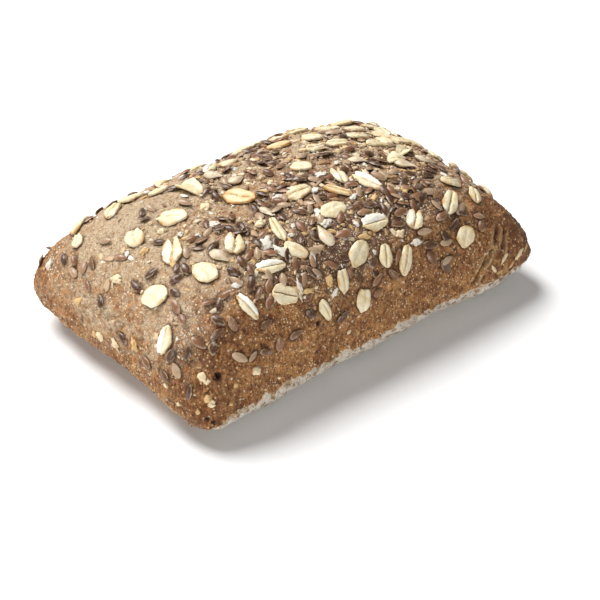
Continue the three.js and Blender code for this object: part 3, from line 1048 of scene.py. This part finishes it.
for x, y in spots_in(CRUMB_PATCHES, draw):
    breadth = draw.choice([0.4, 0.5, 0.6, 0.7, 0.9, 1.2]) * MM
    shares = draw.uniform(0.9, 1.8), draw.uniform(0.6, 1.1), draw.uniform(0.4, 0.8)
    size = Vector([breadth * share for share in shares])
    lay_crumb(crumb_pattern, crust_at(x, y), draw.uniform(0, 6.28), size, draw.choice(CRUMB_TINTS), 0.7, 0.2)
for x, y in spots_in(CHIP_PATCHES, draw):
    breadth = draw.uniform(0.9, 2.0) * MM
    size = Vector((breadth * draw.uniform(1.1, 2.2), breadth, breadth * draw.uniform(0.3, 0.6)))
    point = crust_at(x, y)[0]
    colour = draw.choice(CRUMB_TINTS)
    if point is not None and not under_topping(point, 0):
        lay_crumb(chip_pattern, crust_at(x, y), draw.uniform(0, 6.28), size, colour, 0.6, 0.2)
for x, y, length, breadth, turn, colour in NAMED_BITS:
    size = Vector((length, breadth, 0.4 * breadth + 0.5)) * 0.8 * MM
    lay_crumb(chip_pattern, crust_at(x * MM, y * MM), math.radians(turn), size, colour, 1.0, 0.3)
for x, y, z, length, breadth, turn, colour in SIDE_BITS:
    size = Vector((length, breadth, 0.4 * breadth + 0.5)) * MM
    beside = Vector((x, y, z)) * MM
    place = crust_tree.find_nearest(beside)[0], dough_tree.find_nearest(beside)[1]
    lay_crumb(chip_pattern, place, math.radians(turn), size, colour, 0.5, 0.25)
crumb = join_all(crumbs, "crumbs")
bpy.data.objects.remove(crumb_pattern)
bpy.data.objects.remove(chip_pattern)

crumb_look, crumb_shader = new_material("crumb")
spot = place_on(crumb_look)
paint = attribute_of(crumb_look, "tint", "Color")
mottle = limit(crumb_look, speckle_noise(crumb_look, spot, 900, 3), 0.45, 0.75)
crumb_colour = wash(crumb_look, mottle, 0.3, paint, CRUMB_SHADE)
fill(crumb_look, crumb_shader, {"Base Color": crumb_colour, "Roughness": 0.65})
crumb.data.materials.append(crumb_look)
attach(crumb, "root")


# ---- Table, light and camera -----------------------------------------------------------------------
# A plain pale table in a dim even sky, with one broad lamp behind the loaf on the left and a softer
# one beside the camera.

bpy.ops.object.select_all(action="DESELECT")
bpy.ops.mesh.primitive_plane_add(size=3, location=(0, 0, -0.05 * MM))
table = bpy.context.object
table.name = "table"
table_look, table_shader = new_material("table_white")
spot = place_on(table_look)
table_cloud = speckle_noise(table_look, spot, 4)
table_colour = tint(table_look, table_cloud, (0.91, 0.91, 0.91, 1), (0.92, 0.92, 0.92, 1))
fill(table_look, table_shader, {"Base Color": table_colour, "Roughness": 0.9, "Specular IOR Level": 0.0})
table.data.materials.append(table_look)

SKY = 0.20  # strength of the even white sky
world = bpy.data.worlds.new("sky")
world.use_nodes = True
world.node_tree.nodes["Background"].inputs["Color"].default_value = (1, 1, 1, 1)
world.node_tree.nodes["Background"].inputs["Strength"].default_value = SKY
bpy.context.scene.world = world


def direction(azimuth, elevation):
    """Unit vector to a place round the loaf: azimuth 0 looks along +Y and 90 along -X."""
    a, e = math.radians(azimuth), math.radians(elevation)
    return Vector((math.sin(a) * math.cos(e), -math.cos(a) * math.cos(e), math.sin(e)))


LAMPS = [  # [name, azimuth, elevation, breadth in metres, watts]
    ("window", 192, 58, 0.66, 16.2),
    ("fill", 314, 14, 0.50, 5.7),
]
for name, azimuth, elevation, breadth, watts in LAMPS:
    lamp_data = bpy.data.lights.new(name, "AREA")
    lamp_data.shape = "DISK"
    lamp_data.size = breadth
    lamp_data.energy = watts
    lamp = bpy.data.objects.new(name, lamp_data)
    lamp.location = direction(azimuth, elevation)
    lamp.rotation_euler = lamp.location.to_track_quat("Z", "Y").to_euler()
    bpy.context.scene.collection.objects.link(lamp)

CAMERA_AIM = Vector((-12.35, -22.63, 18.0)) * MM
CAMERA_DISTANCE = 0.55
CAMERA_AZIMUTH, CAMERA_ELEVATION = -38.9, 36.9
CAMERA_LENS, CAMERA_SENSOR = 112.2, 36  # both in mm

camera_data = bpy.data.cameras.new("camera")
camera_data.lens = CAMERA_LENS
camera_data.sensor_width = CAMERA_SENSOR
camera = bpy.data.objects.new("camera", camera_data)
toward = direction(CAMERA_AZIMUTH, CAMERA_ELEVATION)
camera.location = CAMERA_AIM + toward * CAMERA_DISTANCE
camera.rotation_euler = toward.to_track_quat("Z", "Y").to_euler()
bpy.context.scene.collection.objects.link(camera)
bpy.context.scene.camera = camera
bpy.context.scene.view_settings.view_transform = "Standard"
